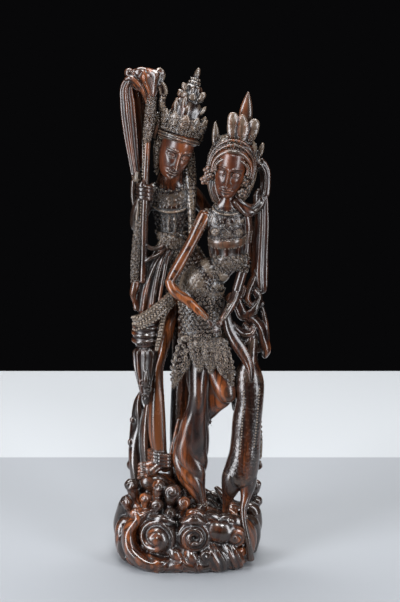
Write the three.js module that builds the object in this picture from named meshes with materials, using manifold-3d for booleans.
// A Balinese carving of a prince and a princess in tall crowns, with a leaping deer, on a base of waves.
// It is cut from one upright block of striped ebony, so it is one solid.
// Millimetres, +Z up. The carving faces -Y, and its origin is at the middle of its underside.
import * as THREE from "three";
import { mergeVertices } from "three/addons/utils/BufferGeometryUtils.js";
import Module from "manifold-3d";

const wasm = await Module();
wasm.setup();

// Driving sizes
const BASE = { halfWidth: 85, halfDepth: 67, waveTop: 60 };
const FINEST_EDGE = 1.2; // where two shapes meet, edges shorter than this are drawn together
const EBONY = { color: 0x2b1711, roughness: 0.35, metalness: 0 };

// Every station is [x, y, z, half width, half depth]; a round one leaves the half depth out.
const WOMAN = {
  neckTop: [48, -22, 460, 6.5],
  neckBase: [48, -18, 445, 8],
  shoulders: [46, -15, 434, 23, 10],
  chest: [46, -16, 421, 20.5, 13],
  bust: [47, -18, 408, 21, 15],
  ribs: [47.5, -16, 392, 19, 13.5],
  corsetEnd: [47, -15, 376, 18, 13.5],
  waist: [41, -14, 362, 16, 13],
  belly: [29, -13, 347, 20, 16],
  hip: [19, -12, 328, 25, 19],
  seat: [19, -12, 304, 28, 20],
  lap: [21, -14, 278, 29, 20],
  apronEnd: [21, -16, 256, 24, 17],
  legTop: [18, -18, 264, 17, 16],
  thigh: [15.5, -22, 226, 14.5, 15],
  knee: [14.5, -23, 200, 13, 14.5],
  shin: [12.5, -20, 172, 14, 13.5],
  calf: [6, -18, 146, 18.5, 14],
  hem: [4.5, -18, 120, 18, 13],
  hemLow: [9, -19, 96, 13, 11],
  ankle: [17, -20, 76, 6.5],
  heel: [17, -22, 60, 6],
  thighL: [34, -17, 258, 19, 16],
  thighLowL: [43, -22, 232, 16, 15],
  kneeL: [48, -26, 207, 11, 12],
  calfL: [35, -6, 184, 9, 10],
  calfLowL: [20, 10, 150, 8, 9],
  shinL: [12, 15, 110, 7, 8],
  footL: [10, 17, 62, 7, 8],
  shoulderR: [23, -15, 432, 8],
  upperR: [5, -25, 397, 5.8],
  elbowR: [-19, -37, 358, 6],
  forearmR: [4, -44, 333, 5.2],
  wristR: [25, -47, 313, 4],
  handR: [35, -49, 303, 4.2],
  shoulderL: [67, -13, 430, 8],
  upperL: [69, -13, 398, 6],
  lowerL: [66, -15, 366, 6],
  elbowL: [58, -24, 338, 6.5],
  forearmL: [49, -38, 322, 5],
  wristL: [40, -46, 311, 4],
  handL: [33, -50, 303, 4.2],
};
const WOMAN_HEAD = { at: [48, -20, 479], radii: [17, 18, 22], lean: 13, nod: 12, turn: -8 };
const MAN = {
  neckTop: [-18, 1, 472, 8.5],
  neckBase: [-19, 6, 456, 10.5],
  shoulders: [-17, 8, 449, 25, 11],
  chest: [-17, 7, 436, 23.5, 14],
  ribs: [-16, 8, 418, 20, 14],
  waist: [-16, 9, 400, 17, 13],
  belt: [-14, 10, 387, 17, 14],
  hipTop: [-5, 14, 370, 24, 15],
  hips: [2, 15, 345, 28, 17],
  seat: [3, 15, 316, 27, 18],
  crotch: [-2, 14, 288, 17, 16],
  hipR: [-8, 6, 325, 15],
  thighR: [-20, -2, 298, 10, 12],
  thighLowR: [-27, -6, 274, 8.5, 11],
  kneeR: [-33, -9, 246, 8, 11],
  shinR: [-36, -9, 205, 7.5, 9],
  shinLowR: [-34, -9, 165, 9, 9.5],
  cuffR: [-31, -9, 138, 10.5, 10],
  ankleR: [-26, -9, 124, 7],
  heelR: [-21, -6, 108, 8, 7],
  instepR: [-32, -13, 109, 8, 6.5],
  ballR: [-47, -21, 105, 8, 4.5],
  toesR: [-60, -27, 105, 6.5, 3],
  thighTopL: [0, 18, 296, 16, 14],
  thighL: [-5, 21, 248, 12.5],
  kneeL: [-6, 22, 207, 10.5],
  shinL: [-9, 22, 165, 9],
  shinLowL: [-12, 22, 128, 8.5],
  footL: [-15, 22, 80, 9],
  shoulderR: [-38, 8, 443, 9.5],
  elbowR: [-57, 4, 411, 7.5],
  forearmR: [-57, -6, 430, 6.5],
  fistR: [-49, -17, 458, 8.5],
  shoulderL: [4, 10, 447, 10],
  upperL: [23, 16, 424, 7.5],
  innerL: [50, 20, 392, 7],
  elbowL: [76, 18, 368, 7],
  forearmL: [84, 10, 410, 6],
  wristL: [87, 2, 438, 5],
  handL: [88, -3, 452, 6.5],
};
const MAN_HEAD = { at: [-14, -3, 491], radii: [17, 19, 23], lean: 14, nod: 18, turn: 10 };
// The man's crown stands on this axis, and its profile is [radius, share of the axis].
const CROWN = { foot: [-8, 2, 510], tip: [15, 13, 596] };
const CROWN_PROFILE = [
  [0, 0], [21, 0], [23, 0.08], [22, 0.17], [24.5, 0.25], [19, 0.29], [17, 0.4], [19.5, 0.46], [13.5, 0.49],
  [11.5, 0.6], [13, 0.66], [8, 0.69], [6, 0.78], [6.8, 0.82], [3.6, 0.85], [3.2, 0.92], [3.8, 0.96], [0, 1],
];
const DEER = {
  crown: [76, -8, 296, 5],
  poll: [76, -14, 288, 7],
  throat: [75, -20, 274, 8],
  neck: [75, -24, 262, 9.5],
  withers: [74.5, -26, 247, 15, 13],
  shoulder: [74, -27, 232, 18.5, 16],
  chest: [72, -27, 205, 18, 16],
  loin: [70, -26, 175, 16.5, 14],
  flank: [69, -25, 145, 18, 14.5],
  haunch: [63, -24, 116, 20, 15],
  rump: [62, -24, 98, 16, 13],
  thighL: [55, -22, 104, 10.5, 11],
  hockL: [51, -19, 80, 6],
  hoofL: [50, -18, 58, 3.6],
  thighR: [71, -26, 104, 12, 12],
  hockR: [68, -32, 78, 5.8],
  cannonR: [70, -42, 52, 4.4],
  hoofR: [77, -48, 12, 4],
  muzzle: [80, -2, 310, 3],
};
const BOW = {
  top: [-40, -8, 566, 4.5],
  upper: [-43, -12, 520, 4.4],
  overFist: [-45, -17, 480, 4.4],
  grip: [-46, -18, 452, 4.4],
  underFist: [-48, -15, 415, 4.6],
  foot: [-49, -10, 382, 5.5],
};
const FAN = {
  stem: [-40, -8, 562, 5, 4.5],
  throat: [-42, -9, 577, 9, 6],
  spread: [-45, -10, 589, 19, 8],
  lip: [-46, -10, 598, 20, 8.5],
  rim: [-46, -10, 600, 16, 6],
};

const X_AXIS = new THREE.Vector3(1, 0, 0);

// Shapes

function asSolid(geometry) {
  const bare = geometry.clone();
  bare.deleteAttribute("normal");
  bare.deleteAttribute("uv");
  const welded = mergeVertices(bare, 1e-5);
  return new wasm.Manifold(
    new wasm.Mesh({
      numProp: 3,
      vertProperties: Float32Array.from(welded.attributes.position.array),
      triVerts: Uint32Array.from(welded.index.array),
    }),
  );
}

function asGeometry(solid) {
  const faces = solid.getMesh();
  const geometry = new THREE.BufferGeometry();
  const places = Float32Array.from(faces.vertProperties);
  geometry.setAttribute("position", new THREE.BufferAttribute(places, faces.numProp));
  geometry.setIndex(new THREE.BufferAttribute(Uint32Array.from(faces.triVerts), 1));
  return geometry;
}

// Draws the two ends of each edge under the shortest length together, unless a face would fold over.
function withoutSlivers(geometry, shortest) {
  const { position } = geometry.attributes;
  const corners = geometry.index.array;
  const place = (i) => new THREE.Vector3().fromBufferAttribute(position, i);
  const places = Array.from({ length: position.count }, (_, i) => place(i));
  const faces = Array.from({ length: corners.length / 3 }, (_, i) => [...corners.slice(3 * i, 3 * i + 3)]);
  const around = places.map(() => new Set());
  faces.forEach((face, f) => face.forEach((v) => around[v].add(f)));
  const beside = (v) => new Set([...around[v]].flatMap((f) => faces[f]).filter((other) => other !== v));
  const normal = ([a, b, c]) => b.clone().sub(a).cross(c.clone().sub(a)).normalize();
  const folds = (from, middle, gone) =>
    [...around[from]].some((f) => {
      if (faces[f].includes(gone)) return false;
      const before = faces[f].map((v) => places[v]);
      const after = faces[f].map((v) => (v === from ? middle : places[v]));
      return normal(before).dot(normal(after)) < 0.5;
    });
  const join = (kept, gone) => {
    if (!around[kept].size || !around[gone].size || places[kept].distanceTo(places[gone]) > shortest) return;
    const nextToGone = beside(gone);
    if (!nextToGone.has(kept) || [...beside(kept)].filter((v) => nextToGone.has(v)).length !== 2) return;
    const middle = places[kept].clone().lerp(places[gone], 0.5);
    if (folds(kept, middle, gone) || folds(gone, middle, kept)) return;
    places[kept] = middle;
    for (const f of [...around[gone]]) {
      if (faces[f].includes(kept)) faces[f].forEach((v) => around[v].delete(f));
      else around[kept].add(f);
      faces[f] = faces[f].includes(kept) ? [] : faces[f].map((v) => (v === gone ? kept : v));
    }
    around[gone].clear();
  };
  const edges = faces.flatMap(([a, b, c]) => [[a, b], [b, c], [c, a]]);
  edges.sort(([a, b], [c, d]) => places[a].distanceTo(places[b]) - places[c].distanceTo(places[d]));
  for (let pass = 0; pass < 3; pass++) edges.forEach(([a, b]) => join(a, b));
  const thinned = new THREE.BufferGeometry().setFromPoints(places);
  thinned.setIndex(faces.flat());
  return mergeVertices(thinned.toNonIndexed(), 1e-5);
}

// A limb, a trunk or a fold of cloth: a cylinder bent through the stations, fluted if asked.
function limb(stations, options = {}) {
  const { sides = 6, rings = stations.length - 1, flutes = 0, cut = 0, across = X_AXIS } = options;
  const path = new THREE.CatmullRomCurve3(stations.map(([x, y, z]) => new THREE.Vector3(x, y, z)));
  const girths = stations.map(([, , , wide, deep = wide]) => new THREE.Vector3(wide, deep, 0));
  const girth = new THREE.CatmullRomCurve3(girths);
  const shape = new THREE.CylinderGeometry(1, 1, 1, sides, rings);
  const places = shape.attributes.position;
  for (let i = 0; i < places.count; i++) {
    const along = 0.5 - places.getY(i);
    const angle = Math.atan2(places.getX(i), places.getZ(i));
    const flute = 1 + cut * Math.cos(flutes * angle);
    const reach = Math.hypot(places.getX(i), places.getZ(i)) * flute;
    const heading = path.getTangent(along);
    const side = across.clone().addScaledVector(heading, -across.dot(heading)).normalize();
    const front = heading.clone().cross(side);
    const size = girth.getPoint(along);
    const place = path
      .getPoint(along)
      .addScaledVector(side, Math.sin(angle) * reach * size.x)
      .addScaledVector(front, Math.cos(angle) * reach * size.y);
    places.setXYZ(i, place.x, place.y, place.z);
  }
  return asSolid(shape);
}

function ball(place, [wide, deep, tall], { around = 7, down = 4 } = {}) {
  const shape = new THREE.SphereGeometry(1, around, down).rotateX(Math.PI / 2).scale(wide, deep, tall);
  return asSolid(shape.translate(...place));
}

// A turned form on its own axis, from a profile of [radius, share of the axis].
function turned(foot, tip, profile, sides) {
  const axis = new THREE.Vector3(...tip).sub(new THREE.Vector3(...foot));
  const outline = profile.map(([radius, share]) => new THREE.Vector2(radius, share * axis.length()));
  const shape = new THREE.LatheGeometry(outline, sides);
  const upright = new THREE.Vector3(0, 1, 0);
  shape.applyQuaternion(new THREE.Quaternion().setFromUnitVectors(upright, axis.normalize()));
  return asSolid(shape.translate(...foot));
}

// A wave's curl: a tube that winds inwards about its centre and thins towards the eye.
function curl({ at, radius, turns, tube, start = 0, hand = 1, facing = 0, lift = 4 }, sides = 5) {
  const steps = Math.round(7.5 * turns);
  const [x, y, z] = at;
  const aside = new THREE.Vector3(Math.cos(facing), Math.sin(facing), 0);
  const outward = new THREE.Vector3(Math.sin(facing), -Math.cos(facing), 0);
  const stations = Array.from({ length: steps + 1 }, (_, i) => {
    const share = i / steps;
    const angle = start + hand * share * turns * 2 * Math.PI;
    const reach = radius * (1 - 0.86 * share);
    const rise = lift * share;
    return [
      x + aside.x * Math.cos(angle) * reach + outward.x * rise,
      y + aside.y * Math.cos(angle) * reach + outward.y * rise,
      z + Math.sin(angle) * reach,
      tube * 1.25 * (1 - 0.45 * share),
      tube * (1 - 0.45 * share),
    ];
  });
  return limb(stations, { sides, rings: steps, across: outward });
}

// A drop of foam on a bent stalk.
function foam([x, y, z], radius, [rootX, rootY, rootZ]) {
  const stalk = limb(
    [
      [rootX, rootY, rootZ, radius],
      [(x + rootX) / 2 - 1, (y + rootY) / 2 - 2, (z + rootZ) / 2, radius * 0.62],
      [x, y, z, radius * 0.7],
    ],
    { sides: 5, rings: 2 },
  );
  return stalk.add(ball([x, y, z], [radius, radius, radius * 1.1], { around: 6, down: 4 }));
}

// A crown leaf or spike: flat, widest low down, and drawn to a point.
function leaf(foot, tip, wide, { deep = 2.2, blunt = 0.25 } = {}) {
  const place = (share) => foot.map((from, i) => from + (tip[i] - from) * share);
  return limb(
    [
      [...place(0), wide * 0.7, deep],
      [...place(0.45), wide, deep],
      [...place(0.85), wide * (0.45 + blunt), deep * 0.8],
      [...place(1), wide * blunt, deep * 0.4],
    ],
    { sides: 5, rings: 2 },
  );
}

// The parts of the carving

function base() {
  const mound = [
    [0, 0, 0, BASE.halfWidth, BASE.halfDepth],
    [0, 0, 12, BASE.halfWidth, BASE.halfDepth],
    [0, 0, 30, BASE.halfWidth * 0.96, BASE.halfDepth * 0.9],
    [0, 1, 46, BASE.halfWidth * 0.92, BASE.halfDepth * 0.8],
    [2, 3, BASE.waveTop, BASE.halfWidth * 0.74, BASE.halfDepth * 0.6],
  ];
  const crest = [
    [-38, 6, 34, 40, 46],
    [-38, 6, 66, 36, 36],
    [-38, 5, 86, 31, 26],
    [-36, 4, 99, 22, 18],
  ];
  const rock = [
    [-50, 14, 80, 19, 14],
    [-56, 13, 118, 15, 10],
    [-58, 12, 150, 13, 8],
    [-60, 12, 180, 8, 6],
    [-56, 12, 201, 3, 3],
  ];
  const curls = [
    { at: [-37, -49, 42], radius: 20, turns: 1.25, tube: 7, start: 2.4, facing: -0.35 },
    { at: [8, -56, 43], radius: 17, turns: 1.25, tube: 6, start: 2.6, hand: -1, facing: 0 },
    { at: [56, -46, 41], radius: 16, turns: 1.2, tube: 8, start: 2.9, hand: -1, facing: 0.4 },
    { at: [-70, -26, 34], radius: 15, turns: 1.2, tube: 7, start: 1.2, facing: -1.1 },
    { at: [38, 47, 34], radius: 18, turns: 1.2, tube: 8, start: 0.5, facing: 2.6 },
    { at: [-12, 53, 36], radius: 18, turns: 1.2, tube: 8, start: 0.4, facing: 3.2 },
    { at: [-62, 37, 38], radius: 16, turns: 1.2, tube: 8, start: 0.4, facing: 4.0 },
    { at: [76, 16, 34], radius: 14, turns: 1.2, tube: 7, start: 0.9, facing: 1.5 },
  ];
  const drops = [
    [[-72, -14, 84], 6, [-70, -16, 55]],
    [[-58, -28, 88], 5.5, [-60, -28, 60]],
    [[-40, -36, 92], 5.5, [-44, -30, 66]],
    [[-25, -34, 90], 6.5, [-36, -36, 58]],
    [[-66, -30, 68], 7.5, [-66, -28, 44]],
    [[-34, -42, 72], 5, [-38, -36, 56]],
    [[-77, -18, 42], 7, [-72, -16, 28]],
    [[86, 12, 80], 5, [78, 8, 48]],
    [[84, 6, 62], 6, [76, 6, 40]],
    [[80, -18, 48], 6.5, [72, -16, 30]],
    [[80, -22, 20], 6, [72, -20, 14]],
    [[25, -62, 20], 6.5, [22, -52, 18]],
    [[-8, -63, 18], 6, [-8, -52, 16]],
    [[60, 36, 66], 7, [54, 34, 40]],
    [[10, 44, 72], 7, [8, 36, 46]],
  ];
  return [
    limb(mound, { sides: 20, rings: 3 }),
    limb(crest, { sides: 10, rings: 2 }),
    limb(rock, { sides: 6, rings: 4 }),
    limb(
      [
        [22, -40, 44, 13],
        [40, -44, 46, 14],
        [60, -40, 44, 13],
      ],
      { sides: 6, rings: 2, across: new THREE.Vector3(0, 1, 0) },
    ),
    ...curls.map((wave) => curl(wave)),
    ...drops.map(([place, radius, root]) => foam(place, radius, root)),
  ];
}

function deer() {
  const d = DEER;
  const leg = { sides: 6, rings: 3 };
  return [
    limb(
      [
        d.crown, d.poll, d.throat, d.neck, d.withers, d.shoulder, d.chest, d.loin,
        d.flank, d.haunch, d.rump,
      ],
      { sides: 8, rings: 9 },
    ),
    limb([d.haunch, d.thighL, d.hockL, d.hoofL], leg),
    limb([d.haunch, d.thighR, d.hockR, d.cannonR, d.hoofR], leg),
    limb([d.poll, d.crown, d.muzzle], { sides: 5, rings: 2 }),
    limb([[84, -18, 170, 3], [87, -14, 145, 3], [86, -12, 124, 3.5]], { sides: 5, rings: 2 }),
  ];
}

// A skull with a jaw and a nose, first upright, then bowed and tilted as one.
function head({ at, radii: [wide, deep, tall], lean, nod, turn }) {
  const skull = ball([0, 0, tall * 0.12], [wide, deep, tall * 0.9], { around: 9, down: 6 });
  const jawAt = [0, -deep * 0.3, -tall * 0.42];
  const jaw = ball(jawAt, [wide * 0.78, deep * 0.66, tall * 0.58], { around: 8, down: 5 });
  const noseAt = [0, -deep * 0.98, -tall * 0.12];
  const nose = ball(noseAt, [wide * 0.16, deep * 0.2, tall * 0.24], { around: 5, down: 4 });
  return skull.add(jaw).add(nose).rotate([nod, 0, turn]).rotate([0, lean, 0]).translate(at);
}

function woman() {
  const w = WOMAN;
  const arm = { sides: 6, rings: 4 };
  const trunk = [
    w.neckTop,
    w.neckBase,
    w.shoulders,
    w.chest,
    w.bust,
    w.ribs,
    w.corsetEnd,
    w.waist,
    w.belly,
    w.hip,
    w.seat,
    w.lap,
    w.apronEnd,
  ];
  const petals = [
    [[55, -18, 520], [54, -18, 550], 6.5],
    [[62, -18, 520], [67, -18, 553], 6.5],
    [[68, -16, 516], [79, -14, 543], 6.5],
    [[64, -14, 524], [71.5, -14, 571], 7],
    [[58, -4, 518], [60, 2, 546], 6],
  ];
  const earrings = [
    [26, -24, 487], [22.5, -24, 476], [68, -22, 470], [63, -25, 460],
  ];
  return [
    limb(trunk, { sides: 10, rings: 12 }),
    limb(
      [w.legTop, w.thigh, w.knee, w.shin, w.calf, w.hem, w.hemLow, w.ankle, w.heel],
      { sides: 14, rings: 7, flutes: 7, cut: 0.07 },
    ),
    limb(
      [w.seat, w.thighL, w.thighLowL, w.kneeL, w.calfL, w.calfLowL, w.shinL, w.footL],
      { sides: 8, rings: 7 },
    ),
    limb([w.shoulderR, w.upperR, w.elbowR], arm),
    limb([w.elbowR, w.forearmR, w.wristR, w.handR], arm),
    limb([w.shoulderL, w.upperL, w.lowerL, w.elbowL], arm),
    limb([w.elbowL, w.forearmL, w.wristL, w.handL], arm),
    ball([-19, -37, 358], [6, 6, 6]),
    ball([58, -24, 338], [6.4, 6.4, 6.4]),
    ball([46, -31, 409], [14, 6, 7]),
    head(WOMAN_HEAD),
    ball([56, -16, 500], [22, 20, 23], { around: 10, down: 6 }),
    ball([69, -12, 480], [11, 14, 18]),
    ...petals.map(([foot, tip, wide]) => leaf(foot, tip, wide)),
    leaf([38, -12, 494], [35, -14, 539], 5),
    leaf([78, -8, 488], [89, -6, 520], 6),
    ...earrings.map((place) => ball(place, [5.5, 5.5, 5.5], { around: 6, down: 4 })),
    // the two pointed lappets of the apron and its middle tongue
    leaf([2, -30, 282], [-17, -36, 224], 12, { deep: 6 }),
    leaf([38, -32, 282], [54, -38, 228], 12, { deep: 6 }),
    leaf([21, -34, 290], [22, -38, 248], 14, { deep: 5, blunt: 0.5 }),
    limb([[17, -24, 66, 7, 6], [12, -38, 66, 6, 5], [7, -50, 62, 7, 4]], { sides: 6, rings: 2 }),
  ];
}

function man() {
  const m = MAN;
  const arm = { sides: 6, rings: 4 };
  const trunk = [
    m.neckTop,
    m.neckBase,
    m.shoulders,
    m.chest,
    m.ribs,
    m.waist,
    m.belt,
    m.hipTop,
    m.hips,
    m.seat,
    m.crotch,
  ];
  const hair = [
    [0, 6, 500, 9, 10],
    [2, 5, 476, 10, 9],
    [4, 0, 450, 8, 6],
    [4, -5, 425, 6, 4],
    [3, -4, 404, 4, 4],
  ];
  return [
    limb(trunk, { sides: 10, rings: 10 }),
    limb(
      [m.hipR, m.thighR, m.thighLowR, m.kneeR, m.shinR, m.shinLowR, m.cuffR, m.ankleR, m.heelR],
      { sides: 8, rings: 7 },
    ),
    limb(
      [m.heelR, m.instepR, m.ballR, m.toesR],
      { sides: 6, rings: 3, across: new THREE.Vector3(0.4, -1, 0) },
    ),
    limb([m.thighTopL, m.thighL, m.kneeL, m.shinL, m.shinLowL, m.footL], { sides: 7, rings: 4 }),
    limb([m.shoulderR, m.elbowR], { sides: 6, rings: 2 }),
    limb([m.elbowR, m.forearmR, m.fistR], { sides: 6, rings: 2 }),
    ball([-48, -18, 458], [8.5, 7, 9.5]),
    ball([-57, 4, 411], [7.5, 7.5, 7.5]),
    limb([m.shoulderL, m.upperL, m.innerL, m.elbowL], arm),
    limb([m.elbowL, m.forearmL, m.wristL, m.handL], arm),
    limb(hair, { sides: 6, rings: 4 }),
    head(MAN_HEAD),
    turned(CROWN.foot, CROWN.tip, CROWN_PROFILE, 9),
    // leaf ornaments beside the crown and over the ear
    leaf([-28, 0, 506], [-33, 0, 560], 7, { deep: 4 }),
    leaf([-30, -2, 500], [-38, -6, 540], 5, { deep: 4 }),
    leaf([-30, -4, 512], [-36, -5, 478], 5, { deep: 4 }),
    // belt knot with its tassel, and the collar's rim
    ball([-21, -5, 394], [13, 7, 8]),
    leaf([-28, -4, 396], [-29, -7, 366], 5, { deep: 4 }),
  ];
}

function bowAndCloths() {
  const b = BOW;
  const ribbon = { sides: 10, rings: 5, flutes: 5, cut: 0.14 };
  const limbLow = [
    [-54, -12, 414, 4],
    [-57, -12, 392, 5.6],
    [-58, -11, 366, 6],
    [-59, -9, 345, 4.6],
    [-60, -11, 330, 3],
  ];
  const leftRibbon = [
    [-62, -10, 592, 5, 4],
    [-66, -9, 574, 6.5, 5],
    [-64, -8, 540, 7.5, 5.5],
    [-61, -9, 505, 6.5, 5],
    [-56, -12, 468, 5, 4.5],
  ];
  const backRibbon = [
    [-58, -5, 588, 4],
    [-54, -1, 560, 4.5, 3.5],
    [-51, 0, 520, 4.5, 3.5],
    [-50, -6, 470, 4],
  ];
  const rightRibbon = [
    [-29, -6, 594, 5, 4],
    [-24, -3, 578, 4.5, 4],
    [-26, -2, 552, 6, 4.5],
    [-32, -3, 524, 5, 4],
    [-36, -6, 508, 2.5],
  ];
  const hanging = [
    [-30, 0, 388, 12, 6],
    [-39, -2, 372, 12, 7],
    [-48, -7, 340, 11, 8],
    [-52, -10, 300, 10.5, 10],
  ];
  const puff = [
    [-40, -12, 314, 13, 12],
    [-44, -14, 296, 18, 15],
    [-45, -14, 282, 18, 15],
    [-46, -15, 266, 15, 10],
    [-47, -18, 244, 12, 8],
    [-47, -20, 226, 7, 5],
    [-47, -24, 204, 3],
  ];
  const garland = [
    [-12, -10, 336, 5.5],
    [-26, -22, 326, 5.5],
    [-42, -29, 314, 5.5],
    [-56, -24, 304, 5.5],
    [-61, -10, 302, 5.5],
  ];
  return [
    limb([b.top, b.upper, b.overFist, b.grip, b.underFist, b.foot], { sides: 6, rings: 7 }),
    limb([[-38.5, -8, 568, 5], [-41, -9, 545, 6.6], [-43, -11, 522, 5.2]], { sides: 6, rings: 2 }),
    limb(limbLow, { sides: 6, rings: 4 }),
    limb(
      [FAN.stem, FAN.throat, FAN.spread, FAN.lip, FAN.rim],
      { sides: 18, rings: 4, flutes: 9, cut: 0.1 },
    ),
    limb(leftRibbon, ribbon),
    limb(backRibbon, { sides: 5, rings: 4 }),
    limb(rightRibbon, { sides: 6, rings: 4 }),
    limb(hanging, { sides: 12, rings: 4, flutes: 6, cut: 0.13 }),
    limb(puff, { sides: 12, rings: 7, flutes: 6, cut: 0.08 }),
    limb(garland, { sides: 6, rings: 5 }),
  ];
}

function scarf() {
  const bunch = [[80, -8, 486, 6], [87, -7, 489, 6, 5], [91, -6, 470, 5], [89, -4, 450, 6.5]];
  const drop = [
    [87, -5, 450, 7, 6],
    [86, -5, 420, 9, 7],
    [85.5, -4, 385, 10, 8],
    [86, -5, 352, 10, 8],
    [89, -6, 336, 8, 6],
    [91, -6, 329, 4],
  ];
  const swag = [[56, -26, 448, 4], [65, -25, 437, 4.5], [76, -18, 433, 4.5], [86, -8, 442, 4.5]];
  const folds = [
    [
      [58, -14, 348, 6],
      [65, -19, 324, 8, 6],
      [74, -22, 307, 7, 6],
      [84, -20, 292, 6.5, 6],
      [90, -18, 275, 6, 5],
      [94, -18, 258, 3.5],
    ],
    [[80, -6, 362, 6], [75, -10, 340, 6, 6], [76, -16, 322, 8, 6], [86, -12, 318, 6, 6], [88, -16, 296, 5]],
    [
      [47, -26, 312, 6, 5],
      [52, -33, 290, 8, 5],
      [64, -38, 271, 8.5, 5.5],
      [73.5, -42, 255, 7, 5],
      [75.5, -43, 234, 2],
    ],
    [[56, -24, 304, 6, 5], [65, -30, 288, 7, 6], [75, -28, 292, 7, 6], [80, -22, 310, 6, 5]],
  ];
  return [
    limb(bunch, { sides: 6, rings: 3 }),
    limb(drop, { sides: 14, rings: 6, flutes: 7, cut: 0.13 }),
    limb(swag, { sides: 5, rings: 4 }),
    ...folds.map((fold) => limb(fold, { sides: 6, rings: 6 })),
    ball([74, -20, 282], [15, 13, 17]),
  ];
}

const statue = new THREE.Group();
const solids = [...base(), ...deer(), ...woman(), ...man(), ...bowAndCloths(), ...scarf()];
const joined = solids.reduce((whole, piece) => whole.add(piece));
// Hollows that the folds close over stay solid wood, so only the outer skin is kept.
const [skin] = joined.decompose().sort((one, other) => other.volume() - one.volume());
const geometry = withoutSlivers(asGeometry(skin), FINEST_EDGE);
geometry.computeVertexNormals();
const carving = new THREE.Mesh(geometry, new THREE.MeshStandardMaterial(EBONY));
carving.name = "carved_statue";
statue.add(carving);

export default statue;
